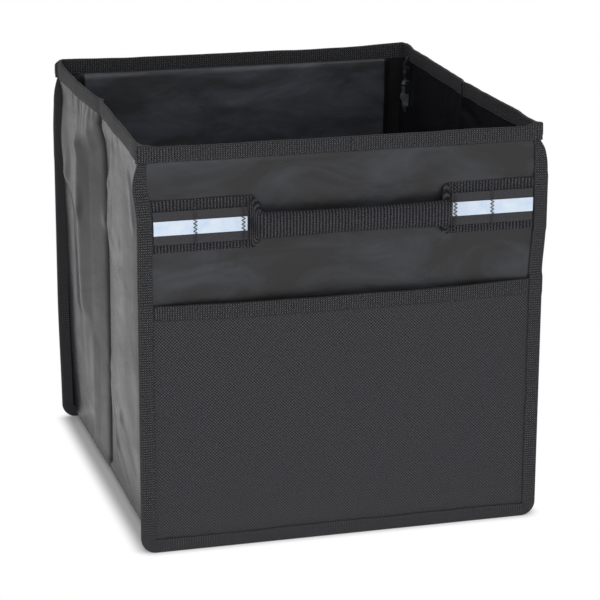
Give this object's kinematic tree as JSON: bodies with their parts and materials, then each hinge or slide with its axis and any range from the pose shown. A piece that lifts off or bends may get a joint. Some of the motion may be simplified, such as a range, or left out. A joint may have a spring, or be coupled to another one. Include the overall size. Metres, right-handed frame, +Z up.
{
  "type": "cargo storage box",
  "caption": "Open cube storage box of black laminated fabric with taped fin seams, a front pocket, reflective straps and webbing handles.",
  "frame": {"origin": "on the floor under the middle of the box", "axes": "+Z up, -Y is the front with the pocket, +X is the right side seen from the front"},
  "size_m": [0.305, 0.3431, 0.305],
  "materials": {
    "satin_cloth": "laminated satin polyester, semi matt",
    "soft_strip_cloth": "laminated satin polyester, soft sheen",
    "lining_cloth": "coated lining, soft sheen",
    "woven_pocket_cloth": "coarse oxford weave, matt",
    "binding_tape": "ribbed polyester tape, matt",
    "webbing": "ribbed polypropylene webbing, matt",
    "ribbon": "ribbed polyester ribbon, matt",
    "reflective_tape": "silver glass-bead reflective film, satin",
    "sewing_thread": "spun polyester thread",
    "stiff_board": "grey board, matt"
  },
  "bodies": {
    "root": {"front_outer_panel": "satin_cloth", "front_board": "stiff_board", "front_lining": "lining_cloth", "front_edge_binding": "binding_tape", "front_pocket_panel": "woven_pocket_cloth", "front_pocket_hem_tape": "binding_tape", "rear_outer_panel": "satin_cloth", "rear_board": "stiff_board", "rear_lining": "lining_cloth", "rear_edge_binding": "binding_tape", "side_and_bottom_strip": "soft_strip_cloth", "rim_binding": "binding_tape", "base_board": "stiff_board", "base_board_sleeve": "lining_cloth", "front_handle_webbing": "webbing", "front_ribbon_left": "ribbon", "front_reflector_left": "reflective_tape", "front_zigzag_left_inner": "sewing_thread", "front_zigzag_left_outer": "sewing_thread", "front_ribbon_right": "ribbon", "front_reflector_right": "reflective_tape", "front_zigzag_right_inner": "sewing_thread", "front_zigzag_right_outer": "sewing_thread", "rear_handle_webbing": "webbing", "rear_ribbon_left": "ribbon", "rear_reflector_left": "reflective_tape", "rear_zigzag_left_inner": "sewing_thread", "rear_zigzag_left_outer": "sewing_thread", "rear_ribbon_right": "ribbon", "rear_reflector_right": "reflective_tape", "rear_zigzag_right_inner": "sewing_thread", "rear_zigzag_right_outer": "sewing_thread"}
  },
  "joints": []
}
